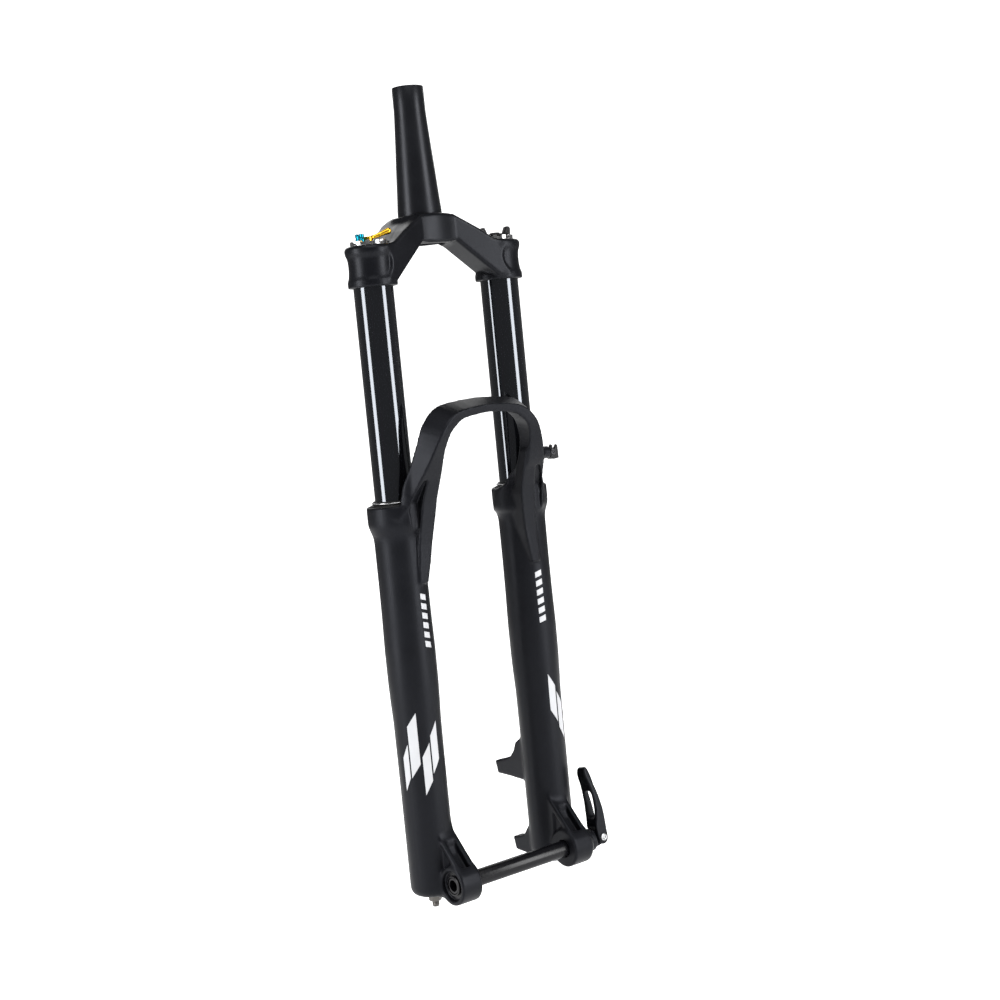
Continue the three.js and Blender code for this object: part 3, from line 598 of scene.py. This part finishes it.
def casting_field():
    step = 1.25
    low, high = (0, -78, -612), (99, 46, -156)
    field = Field(low, high, step)

    def leg(x, y, z):
        rho = np.hypot(x - LEG_X, y - LEG_Y)
        return smax(smax(rho - leg_radius(z), LEG_BOTTOM - z, 9.0), z - COLLAR_TOP, 2.4)

    field.add(leg, (44, -44, -608), (99, 12, -246))
    arch_box = ((0, -78, -278), (92, -18, -160))
    field.add(arch_shape, *arch_box, 3.0)
    wedge = [(-50, -272), (-6, -272), (-12, -257), (-22, -249.5), (-34, -240), (-44, -228), (-50, -220)]

    def scoop(x, y, z):
        ring = np.hypot(x - LEG_X, y - LEG_Y) - (COLLAR_R + 1.4)
        front = smax(polygon(y, z, wedge), x - LEG_X - 7, 6.0)
        return smax(ring, front, 5.0)
    field.add(scoop, (42, -46, -274), (90, -4, -212), 5.0)
    # band: height, inboard x, outboard x, front y, rear y, outboard end of the pocket
    rows = np.array([(-323, 60, 70, -39.8, -30, 70), (-305, 56, 69, -41, -28, 70.5),
                     (-288, 52.9, 67.7, -42, -28, 71.7),
                     (-272, 50.5, 66.2, -44.5, -28, 74), (-257, 48.6, 64.7, -47.2, -31, 75.3),
                     (-250, 48.3, 64.3, -48.8, -36, 74.5), (-240, 47.6, 63, -52.6, -41, 71),
                     (-226, 47, 61.6, -58, -47, 62), (-214, 46.6, 58, -62.5, -52, 58)], float)

    def along(z, column):
        return np.interp(z, rows[:, 0], rows[:, column])

    def pocket(x, y, z):
        floor = 24.8 + 0.66 * np.maximum(z + 250, 0) - np.hypot(x - LEG_X, y - LEG_Y)
        sides = smax(along(z, 2) - 2 - x, x - along(z, 5), 1.0)
        return smax(smax(sides, floor, 0.6), np.maximum(z + 232, y + 30), 1.0)

    def band(x, y, z):
        sides = smax(along(z, 1) - x, x - along(z, 2), 1.6)
        ends = np.maximum(-322 - z, z + 216)
        return smax(smax(sides, smax(along(z, 3) - y, y - along(z, 4), 1.6), 1.6), ends, 1.6)
    field.cut(pocket, (56, -66, -310), (78, -28, -228), 1.0)
    field.add(band, (44, -70, -325), (74, -22, -206), 1.2)
    field.cut(rod_z(23.0, COLLAR_TOP - 2, -150, LEG_X, LEG_Y), (46, -42, -254), (96, 8, -156), 1.0)

    # dropout: boss, ribs and the pockets between them
    field.add(rod_x(BOSS_R, DROP_IN, DROP_OUT, AXLE_Y, AXLE_Z, 1.4), (54, -70, -608), (78, -32, -570), 3.0)
    gusset = [(-14, LEG_BOTTOM + 1), (-28, LEG_BOTTOM + 0.5), (AXLE_Y, AXLE_Z - BOSS_R + 0.8),
              (AXLE_Y - 8, AXLE_Z - 8), (AXLE_Y - 14.5, AXLE_Z + 9), (AXLE_Y - 9, AXLE_Z + 17),
              (-35, -545), (-30, -536), (-14, -530)]
    field.add(prism_x(gusset, 56.2, 75.6, 1.6), (55, -70, -608), (77, -12, -528), 3.0)
    slot = [(-41, -547), (-60, -567), (-60, -579), (-54, -575), (-44, -564), (-41, -558)]
    field.cut(prism_x(slot, 61.0, 70.8, 1.6), (60, -66, -580), (72, -40, -546), 1.6)
    dish = [(-38, -555), (-50.5, -568.5), (-37, -577.5)]
    field.cut(prism_x(dish, 73.4, 82, 1.5), (70, -56, -580), (80, -34, -552), 1.6)
    field.cut(prism_x([(-39, -557), (-49.5, -568), (-38, -577)], 46, 58.2, 1.5), (54, -56, -580),
              (60, -34, -552),
              1.6)

    # bores and seats
    field.cut(rod_z(23.0, COLLAR_TOP - 13, -240, LEG_X, LEG_Y, 0.1), (46, -42, -266), (96, 8, -246), 0.5)
    field.cut(rod_z(21.4, COLLAR_TOP - 25, -240, LEG_X, LEG_Y, 0.1), (46, -42, -278), (96, 8, -246), 0.5)
    field.cut(rod_z(LEG_BORE, LEG_FLOOR, -240, LEG_X, LEG_Y, 2.0), (48, -38, -590), (94, 6, -246), 0.5)
    field.cut(rod_z(5.2, -640, -560, LEG_X, LEG_Y), (64, -24, -606), (78, -8, -580), 0.6)
    field.cut(rod_x(AXLE_R + 0.3, 0, 120, AXLE_Y, AXLE_Z), (50, -62, -600), (84, -40, -578), 0.8)
    field.cut(rod_x(13.3, DROP_OUT - 3.6, 90, AXLE_Y, AXLE_Z), (70, -66, -604), (84, -36, -574), 0.8)
    field.mirror_x()

    # brake caliper posts on the left leg
    upper = [(-8, -531), (5, -530), (20, -529), (36, -528.3), (38.8, -516.3), (26, -513.4), (15, -509.4),
             (9.5, -503.5), (5.5, -495), (-8, -486)]
    lower = [(-8, -603), (19.2, -600.6), (22, -588.4), (13, -587), (5, -584), (0, -577), (-8, -570)]
    field.add(prism_x(upper, 54, 66, 1.4), (53, -10, -532), (67, 40, -490), 1.6)
    field.add(prism_x(lower, 54, 66, 1.4), (53, -10, -606), (67, 24, -568), 1.6)
    field.cut(rod_z(LEG_BORE, LEG_FLOOR, -400, LEG_X, LEG_Y, 2.0), (48, -38, -592), (94, 6, -480), 0.5)
    lean = 0.23
    for y0, z0 in ((37.5, -521.5), (37.5 - 74.2 * math.sin(lean), -521.5 - 74.2 * math.cos(lean))):
        along = np.array([0, math.cos(lean), -math.sin(lean)])
        start, end = np.array([60, y0, z0]) - 12 * along, np.array([60, y0, z0]) + 8 * along
        field.cut(capsule(start, end, 2.9, 2.9), (55, y0 - 16, z0 - 8), (65, y0 + 8, z0 + 8), 0.6)
    field.add(rod_x(5.6, 64, 78.2, -54, -222, 0.8), (60, -60, -229), (79, -47, -215), 3.0)
    return field


solid("lower_legs", casting_field(), "cast_black", "lowers", ("lower_casting",))

# ------------------------------------------------------------------ seals
lip = COLLAR_TOP + 4.4
for side, x in SIDES:
    turned(f"dust_wiper_{side}", [
        (18.6, COLLAR_TOP - 12.6), (22.6, COLLAR_TOP - 12.6), (22.6, COLLAR_TOP), (22.3, COLLAR_TOP + 0.5),
        (21.2, COLLAR_TOP + 1.2), (19.6, COLLAR_TOP + 1.5), (19.15, COLLAR_TOP + 2.0), (19.05, lip - 1.6),
        (19.3, lip - 0.5), (19.0, lip), (17.7, lip), (17.65, lip - 0.6), (18.1, lip - 3), (18.6, lip - 6)],
        "seal_rubber", "lowers", (f"wiper_seal_{side}",), (x, LEG_Y, 0))
    ring = [(20.05 + 0.62 * math.cos(a), lip - 1.5 + 0.62 * math.sin(a))
            for a in (2 * math.pi * i / 12 for i in range(12))]
    turned(f"garter_{side}", ring, "silver", "lowers", (f"garter_spring_{side}",), (x, LEG_Y, 0),
           120,
           shape=lambda angle, i, r, z: (r + 0.09 * math.cos(60 * angle), z))


# ------------------------------------------------------------------ top caps and knobs
def cap_profile(bore):
    top = CAP_Z + 4
    return [(bore, -44), (14.2, -44), (15.2, -43), (15.2, -34), (13.4, -34), (13.4, -31), (15.2, -31),
            (15.2, CAP_Z), (16.2, CAP_Z), (16.4, CAP_Z + 0.2), (16.4, top - 0.5), (15.9, top), (12.9, top),
            (12.6, top - 0.3), (12.3, top - 1.0), (11.8, CAP_FACE), (bore, CAP_FACE)]


def notched(angle, i, r, z):
    """Twelve tool slots round the rim."""
    if (angle * 12 / (2 * math.pi)) % 1 < 0.42 and 9 <= i <= 13:
        return min(r, 14.6) if i < 12 else r, min(z, CAP_Z + 0.5)
    return r, z


for name, node, x in (("damper_cap", "damper_top_cap", -LEG_X), ("spring_cap", "spring_top_cap", LEG_X)):
    turned(name, cap_profile(4.2 if x > 0 else 2.4), "silver", "crown_unit", (node,),
           (x, LEG_Y, 0), 144,
           shape=notched)


def spin(angle, centre):
    c, s = math.cos(angle), math.sin(angle)
    return [[c, -s, 0], [s, c, 0], [0, 0, 1]], centre


hub_low = CAP_FACE + 0.3


def lockout_field():
    field = Field((-7, -7, -42), (24, 7, -8), 0.4)
    field.add(rod_z(2.1, -40, hub_low + 1), (-3, -3, -41), (3, 3, hub_low + 1), 0.3)
    field.add(rod_z(3.9, hub_low, hub_low + 4.6, edge=0.7), (-5, -5, hub_low - 1), (5, 5, hub_low + 5), 0.3)
    field.add(capsule((1, 0, hub_low + 3.0), (10, 0, hub_low + 5.4), 1.9, 1.6), (-2, -3, -22), (14, 3, -8),
              1.2)
    field.add(capsule((9, 0, hub_low + 5.2), (18, 0, hub_low + 8.2), 1.6, 2.9), (6, -4, -20), (22, 4, -8),
              1.5)
    field.cut(rod_z(1.1, hub_low + 3.6, hub_low + 9), (-2, -2, -20), (2, 2, -8), 0.3)
    return field


solid("lockout_arm", lockout_field(), "gold", "lockout", ("lockout_lever",),
      spin(-0.45, (-LEG_X, LEG_Y, 0)))


def knob_field():
    low = hub_low
    field = Field((-5.5, -5.5, low - 2), (5.5, 5.5, low + 9), 0.3)

    def fluted(x, y, z):
        angle = np.arctan2(y, x)
        body = np.hypot(x, y) - (3.85 + 0.14 * np.cos(14 * angle))
        return slab(body, z - low - 3.5, 3.5, 0.5)
    box = ((-5, -5, low - 1), (5, 5, low + 8))
    field.add(fluted, *box, 0.3)

    def groove(x, y, z):
        return np.hypot(np.hypot(x, y) - 4.3, z - low - 3.4) - 0.75
    field.cut(groove, *box, 0.3)
    field.cut(block(0, 0, low + 7, 6, 0.7, 1.6, 0.2), *box, 0.3)
    return field


solid("compression_dial", knob_field(), "blue", "compression_adjuster", ("compression_knob",),
      spin(0.6, (-LEG_X - 8.1, LEG_Y + 1.2, 0)))


def preload_field():
    low = hub_low
    face = low + 2.4
    field = Field((-17, -14, -54), (17, 14, face + 9), 0.5)
    box = ((-16, -14, low - 1), (16, 14, face + 8))
    field.add(rod_z(3.6, -52, low + 1), (-4, -4, -53), (4, 4, low + 1), 0.3)
    field.add(rod_z(12.0, low, face, edge=0.7), *box, 0.3)
    field.add(rod_z(4.6, face - 1, face + 1.5, edge=0.5), *box, 0.8)
    lug = [(8.6, face - 1), (14.4, face - 1), (14.6, face + 4.9), (13.2, face + 6.5), (10.2, face + 6.5),
           (8.9, face + 3.6), (8.2, face + 1.6)]
    field.add(prism_y(lug, -3.6, 3.6, 0.8), *box, 1.2)
    field.add(prism_y([(-a, b) for a, b in lug][::-1], -3.6, 3.6, 0.8), *box, 1.2)
    field.cut(block(0, 0, face + 2.2, 2.6, 0.6, 1.4, 0.2), *box, 0.3)
    return field


solid("preload_dial", preload_field(), "black_plastic", "preload_adjuster",
      ("preload_knob",),
      spin(-0.35, (LEG_X, LEG_Y, 0)))

# ------------------------------------------------------------------ main spring
SPRING_TOP = -67.9
spring = coil("spring_coil", 10.8, 2.1, -329.6, SPRING_TOP, 13, (LEG_X, LEG_Y), "steel", "crown_unit",
              ("main_spring",))
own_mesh(spring)

# ------------------------------------------------------------------ foot bolts
foot_top = LEG_BOTTOM - 0.3


def hexed(angle, i, r, z):
    """Six flats on the lower part of the nut."""
    if 1 <= i <= 4:
        part = (angle + math.pi / 6) % (math.pi / 3) - math.pi / 6
        return min(r, 5.2 / math.cos(part)), z
    return r, z


for side, x in SIDES:
    turned(f"foot_bolt_{side}", [(3.4, foot_top - 6.6), (5.2, foot_top - 6.6), (5.9, foot_top - 6.0),
                                 (5.9, foot_top - 2.2), (5.9, foot_top - 1.9), (7.8, foot_top - 1.6),
                                 (8.0, foot_top - 1.3), (8.0, foot_top), (3.4, foot_top)],
           "foot_steel", "lowers", (f"foot_nut_{side}",), (x, LEG_Y, 0), 72, shape=hexed)
turned("rebound_dial", [(0, LEG_BOTTOM - 12.5), (2.4, LEG_BOTTOM - 12.5), (2.7, LEG_BOTTOM - 12.2),
                        (3.1, LEG_BOTTOM - 11.7), (3.1, LEG_BOTTOM - 8.6), (2.6, LEG_BOTTOM - 8.2),
                        (2.6, LEG_BOTTOM - 7.4), (3.1, LEG_BOTTOM - 7.0), (3.1, LEG_FLOOR - 0.1),
                        (0, LEG_FLOOR - 0.1)],
       "foot_steel", "rebound", ("rebound_adjuster",), (-LEG_X, LEG_Y, 0), 60,
       shape=lambda angle, i, r, z: (r - (0.25 if 2 <= i <= 4 and math.cos(15 * angle) < 0 else 0), z))
turned("foot_screw", [(0, LEG_BOTTOM - 7.6), (1.6, LEG_BOTTOM - 7.6), (1.7, LEG_BOTTOM - 8.6),
                      (2.8, LEG_BOTTOM - 8.6), (3.1, LEG_BOTTOM - 8.3), (3.1, LEG_FLOOR - 0.1),
                      (0, LEG_FLOOR - 0.1)],
       "steel", "lowers", ("foot_screw_left",), (LEG_X, LEG_Y, 0), 60)

# ------------------------------------------------------------------ axle and lever
c, s = math.cos(LEVER_TILT), math.sin(LEVER_TILT)
AXLE_TURN = [[1, 0, 0], [0, c, -s], [0, s, c]], (0, AXLE_Y, AXLE_Z)
turned("thread_insert", [(AXLE_R + 0.15, -75.6), (8.6, -75.6), (9.1, -75.3), (9.1, -73.6), (12.0, -73.5),
                         (12.0, -72.6), (AXLE_R + 0.15, -72.4)][::-1],
       "axle_black", "lowers", ("axle_thread_insert",), (0, AXLE_Y, AXLE_Z), 96, along="x")
turned("axle_cone", [(AXLE_R + 0.15, 72.5), (9.0, 72.5), (9.1, 72.7), (9.1, 77.3), (13.2, 77.3), (13.5, 77.7),
                     (13.2, 79.6), (12.2, 81.6), (11.6, 82), (AXLE_R + 0.15, 82)][::-1],
       "anod_black", "axle_carrier", ("axle_collar",), (0, AXLE_Y, AXLE_Z), 96, along="x")


turned("axle_shaft", [(5.2, -75), (6.8, -75), (AXLE_R, -74), (AXLE_R, -62), (7.25, -61.6), (AXLE_R, -61.2),
                      (AXLE_R, 83), (5.2, 83)][::-1],
       "axle_black", "axle", (), (0, AXLE_Y, AXLE_Z), 96, along="x")


def axle_field():
    field = Field((80, -12, -12), (107, 12, 12), 0.5)
    box = ((80, -12, -12), (107, 12, 12))
    field.add(rod_x(AXLE_R, 82, 84, edge=0.4), *box)
    field.add(rod_x(10.4, 83, 88.6, edge=1.2), (80, -12, -12), (92, 12, 12), 1.2)
    tongue = [(82.4, -8), (96, -7.4), (102.5, -5.5), (105, 0), (102.5, 5.5), (96, 7.4), (82.4, 8)]
    field.add(prism_y(tongue, -3.2, 3.2, 0.9), (80, -5, -10), (107, 5, 10), 1.6)
    field.cut(rod_y(2.6, -8, 8, PIN_X), (94, -6, -5), (104, 6, 5), 0.5)
    return field


solid("axle_head", axle_field(), "anod_black", "axle", ("axle",), AXLE_TURN)


def pin_field():
    field = Field((PIN_X - 5, -10, -5), (PIN_X + 5, 10, 5), 0.35)
    box = ((PIN_X - 5, -10, -5), (PIN_X + 5, 10, 5))
    field.add(rod_y(2.3, -8.2, 8.2, PIN_X), *box, 0.3)
    for end in (-1, 1):
        a, b = sorted((end * 6.9, end * 8.4))
        field.add(rod_y(3.4, a, b, PIN_X, edge=0.6), *box, 0.3)
        a, b = sorted((end * 7.4, end * 9.5))
        field.cut(rod_y(1.9, a, b, PIN_X, edge=0.1), *box, 0.3)
    return field


solid("lever_pin", pin_field(), "silver", "axle", ("cam_pin",), AXLE_TURN)


def curve(a, b, c, count=7):
    t = np.linspace(0, 1, count)[:, None]
    a, b, c = (np.array(p, float) for p in (a, b, c))
    return [tuple(p) for p in (1 - t) ** 2 * a + 2 * (1 - t) * t * b + t * t * c]


def lever_field():
    p, q = PIN_X, LEVER_BASE
    outline = (curve((p - 4.6, -3), (p - 3, -7.4), (p + 2, -6.6))
               + curve((p + 2, -6.6), (p + 7.4, -5), (p + 6.4, 3))[1:]
               + curve((p + 6.4, 3), (p + 6.5, 28), (p + 1, 50))[1:]
               + curve((p + 1, 50), (p - 0.5, 66), (q + 2.2, 67.6))[1:]
               + curve((q + 2.2, 67.6), (q - 2.2, 67), (q - 1.2, 59))[1:]
               + curve((q - 1.2, 59), (p + 0.2, 36), (q - 1, 12))[1:] + [(q - 0.6, 5)])
    field = Field((q - 3, -10.5, -9), (p + 9, 10.5, 70), 0.6)
    box = ((q - 3, -10.5, -9), (p + 9, 10.5, 70))

    def body(x, y, z):
        half = np.interp(z, [-8, 8, 26, 40, 56, 66, 70], [6.4, 7.2, 8.8, 8.4, 6.8, 5.4, 4.6])
        return slab(polygon(x, z, outline), y * 6.4 / half, 6.4, 1.5)
    field.add(body, *box)
    field.cut(block(p, 0, -1, 16, 3.6, 11.2, 0.6), (q - 3, -5, -9), (p + 9, 5, 12), 1.2)
    field.cut(block(p, 0, 31, 16, 5.0, 13.5, 4.4), (q - 3, -6, 16), (p + 9, 6, 46), 1.2)
    field.cut(capsule((p + 9.5, 0, 10), (p + 6.5, 0, 46), 6.4, 5.0), (p - 4, -9, 2), (p + 9, 9, 54), 2.0)
    field.cut(rod_y(2.45, -9, 9, p), *box, 0.5)
    return field


solid("quick_release_lever", lever_field(), "anod_black", "lever", ("axle_lever",), AXLE_TURN)


# ------------------------------------------------------------------ hose guide
def guide_field():
    gx, gy, gz = 78.6, -53.0, -222.0
    field = Field((gx - 2, gy - 7, gz - 9), (gx + 12, gy + 7, gz + 9), 0.4)
    box = ((gx - 2, gy - 7, gz - 9), (gx + 12, gy + 7, gz + 9))
    line = [(0, -4.5), (4, -7), (9.4, -6.5), (9, 5.5), (7.2, 6.5), (5, 2.5), (0, 4.5)]
    field.add(prism_y([(gx + a, gz + b) for a, b in line], gy - 5, gy + 5, 0.8), *box)
    field.cut(rod_z(2.4, gz - 20, gz + 20, gx + 7.6, gy), *box, 0.8)
    field.cut(rod_y(2.0, gy - 20, gy + 20, gx + 2.2, gz), *box, 0.4)
    return field


solid("hose_clip", guide_field(), "black_plastic", "lowers", ("hose_guide",))


def screw_field():
    gx, gy, gz = 80.8, -53.0, -222.0
    field = Field((gx - 4, gy - 7.5, gz - 4), (gx + 4, gy + 6, gz + 4), 0.35)
    box = ((gx - 4, gy - 7.5, gz - 4), (gx + 4, gy + 6, gz + 4))
    field.add(rod_y(1.75, gy - 5.6, gy + 4.5, gx, gz), *box, 0.3)
    field.add(rod_y(2.9, gy - 6.6, gy - 5.2, gx, gz, 0.5), *box, 0.3)
    field.cut(rod_y(1.1, gy - 8, gy - 5.8, gx, gz, 0.1), *box, 0.2)
    return field


solid("hose_clip_screw", screw_field(), "dark_steel", "lowers", ("hose_guide_screw",))


# ------------------------------------------------------------------ printed bars on the legs
def leg_patch(name, side, corners, mat="decal_white", lift=0.16):
    """Thin printed film on a leg; corners are (angle from straight ahead to outboard, z)."""
    x0, outward = (-LEG_X, -1) if side == "right" else (LEG_X, 1)
    nu, nv = 10, 8
    points = []
    for layer in (lift, 0.02):
        for i in range(nu + 1):
            for j in range(nv + 1):
                u, v = i / nu, j / nv
                (a0, z0), (a1, z1), (a2, z2), (a3, z3) = corners
                a = (1 - u) * (1 - v) * a0 + u * (1 - v) * a1 + u * v * a2 + (1 - u) * v * a3
                z = (1 - u) * (1 - v) * z0 + u * (1 - v) * z1 + u * v * z2 + (1 - u) * v * z3
                r = float(leg_radius(z)) + layer
                points.append((x0 + outward * r * math.sin(math.radians(a)),
                               LEG_Y - r * math.cos(math.radians(a)), z))
    stride = (nu + 1) * (nv + 1)
    faces = []
    for i in range(nu):
        for j in range(nv):
            a = i * (nv + 1) + j
            quad = [a, a + nv + 1, a + nv + 2, a + 1]
            faces.append(quad)
            faces.append([q + stride for q in quad[::-1]])
    rim = ([i * (nv + 1) for i in range(nu + 1)] + [nu * (nv + 1) + j for j in range(1, nv + 1)]
           + [i * (nv + 1) + nv for i in range(nu - 1, -1, -1)] + [j for j in range(nv - 1, 0, -1)])
    for a, b in zip(rim, rim[1:] + rim[:1]):
        faces.append([b, a, a + stride, b + stride])
    obj = piece(name, points, faces, mat, "lowers", sharp=40)
    face_out(obj)
    return obj


for side in ("right", "left"):
    raised = 16 if side == "left" else 0
    for n, (a, width, top, height) in enumerate(((74, 16, -462, 30), (50, 24, -434, 46), (22, 20, -462, 34),
                                                 (-2, 20, -444, 34))):
        top += raised
        leg_patch(f"graphic_bar_{side}_{n}", side,
                  [(a + width / 2, top - 12), (a - width / 2, top), (a - width / 2, top - height),
                   (a + width / 2, top - height - 12)])
    for n in range(6):
        z = -330 - 8.4 * n
        leg_patch(f"graphic_dash_{side}_{n}", side, [(-3, z), (-20, z - 2), (-20, z - 7.2), (-3, z - 5.2)])

# ------------------------------------------------------------------ carried-over CAD nodes
CARRIED = {
    "steel": ["damper_tube", "top_out_spring", "damper_shaft", "spring_shaft", "compression_needle"],
    "anod_black": ["damper_seal_head", "spring_shaft_guide"],
    "bronze": ["compression_valve", "divider_plate", "rebound_piston"],
    "seal_rubber": ["cap_seal_right", "cap_seal_left", "oil_bladder", "bottom_out_bumper"],
    "foam": ["foam_ring_right", "foam_ring_left"],
    "bushing": ["upper_bushing_right", "upper_bushing_left", "lower_bushing_right", "lower_bushing_left"],
    "black_plastic": ["spring_seat", "preload_plunger"],
}
for mat, names in CARRIED.items():
    for name in names:
        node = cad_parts[name]
        for slot_ in node.material_slots:
            slot_.material = MATS[mat]

# ------------------------------------------------------------------ studio
FLOOR_Z = -0.6215
floor_mesh = bpy.data.meshes.new("studio_floor")
floor_mesh.from_pydata([(-1.5, -1.5, FLOOR_Z), (1.5, -1.5, FLOOR_Z), (1.5, 1.5, FLOOR_Z),
                        (-1.5, 1.5, FLOOR_Z)], [], [(0, 1, 2, 3)])
floor = bpy.data.objects.new("studio_floor", floor_mesh)
bpy.context.scene.collection.objects.link(floor)
floor_mat = bpy.data.materials.new("studio_floor")
floor_mat.use_nodes = True
floor_shader = floor_mat.node_tree.nodes["Principled BSDF"]
floor_shader.inputs["Base Color"].default_value = (0.93, 0.93, 0.93, 1)
floor_shader.inputs["Emission Color"].default_value = (1, 1, 1, 1)
floor_shader.inputs["Emission Strength"].default_value = 0.85
floor_shader.inputs["Roughness"].default_value = 0.9
floor_mesh.materials.append(floor_mat)

world = bpy.data.worlds.new("studio_world")
bpy.context.scene.world = world
world.use_nodes = True
tree = world.node_tree
background = tree.nodes["Background"]
background.inputs["Color"].default_value = (1, 1, 1, 1)
background.inputs["Strength"].default_value = 0.2
white = tree.nodes.new("ShaderNodeBackground")
white.inputs["Color"].default_value = (1, 1, 1, 1)
white.inputs["Strength"].default_value = 1.6
path_node = tree.nodes.new("ShaderNodeLightPath")
mixer = tree.nodes.new("ShaderNodeMixShader")
tree.links.new(path_node.outputs["Is Camera Ray"], mixer.inputs[0])
tree.links.new(background.outputs[0], mixer.inputs[1])
tree.links.new(white.outputs[0], mixer.inputs[2])
tree.links.new(mixer.outputs[0], tree.nodes["World Output"].inputs["Surface"])

AZIMUTH, ELEVATION, ROLL = math.radians(-38.841), math.radians(4.678), math.radians(-5.530)
CAMERA = Vector((-0.93828, -1.24039, -0.13402))
back = Vector((math.sin(AZIMUTH) * math.cos(ELEVATION), -math.cos(AZIMUTH) * math.cos(ELEVATION),
               math.sin(ELEVATION)))
side_v = (-back).cross(Vector((0, 0, 1))).normalized()
up_v = side_v.cross(-back)
right = side_v * math.cos(ROLL) + up_v * math.sin(ROLL)
above = -side_v * math.sin(ROLL) + up_v * math.cos(ROLL)
camera_data = bpy.data.cameras.new("camera")
camera_data.sensor_width = 36
camera_data.lens = 61.457
camera_data.clip_start = 0.05
camera_data.clip_end = 50
camera = bpy.data.objects.new("camera", camera_data)
camera.matrix_world = Matrix(((right.x, above.x, back.x, CAMERA.x), (right.y, above.y, back.y, CAMERA.y),
                              (right.z, above.z, back.z, CAMERA.z), (0, 0, 0, 1)))
bpy.context.scene.collection.objects.link(camera)
bpy.context.scene.camera = camera


def softbox(name, angle, distance, height, size, watts, target=(0, -0.02, -0.3)):
    """Area light at an angle from the camera's side of the object, aimed at it."""
    data = bpy.data.lights.new(name, "AREA")
    data.shape = "RECTANGLE"
    data.size, data.size_y = size
    data.energy = watts
    light = bpy.data.objects.new(name, data)
    a = AZIMUTH + math.radians(angle)
    light.location = Vector((math.sin(a) * distance, -math.cos(a) * distance, height))
    aim = (Vector(target) - light.location).normalized()
    light.rotation_euler = aim.to_track_quat("-Z", "Y").to_euler()
    bpy.context.scene.collection.objects.link(light)


softbox("softbox_left", -61, 1.6, -0.25, (0.55, 2.0), 46)
softbox("softbox_right", 62, 1.6, -0.25, (0.55, 2.0), 46)
softbox("softbox_top", 10, 0.9, 1.5, (1.2, 1.2), 22)
softbox("softbox_back", 180, 2.0, 0.8, (2.0, 1.2), 18)

scene = bpy.context.scene
scene.view_settings.view_transform = "Standard"
scene.view_settings.look = "None"

bpy.context.view_layer.update()
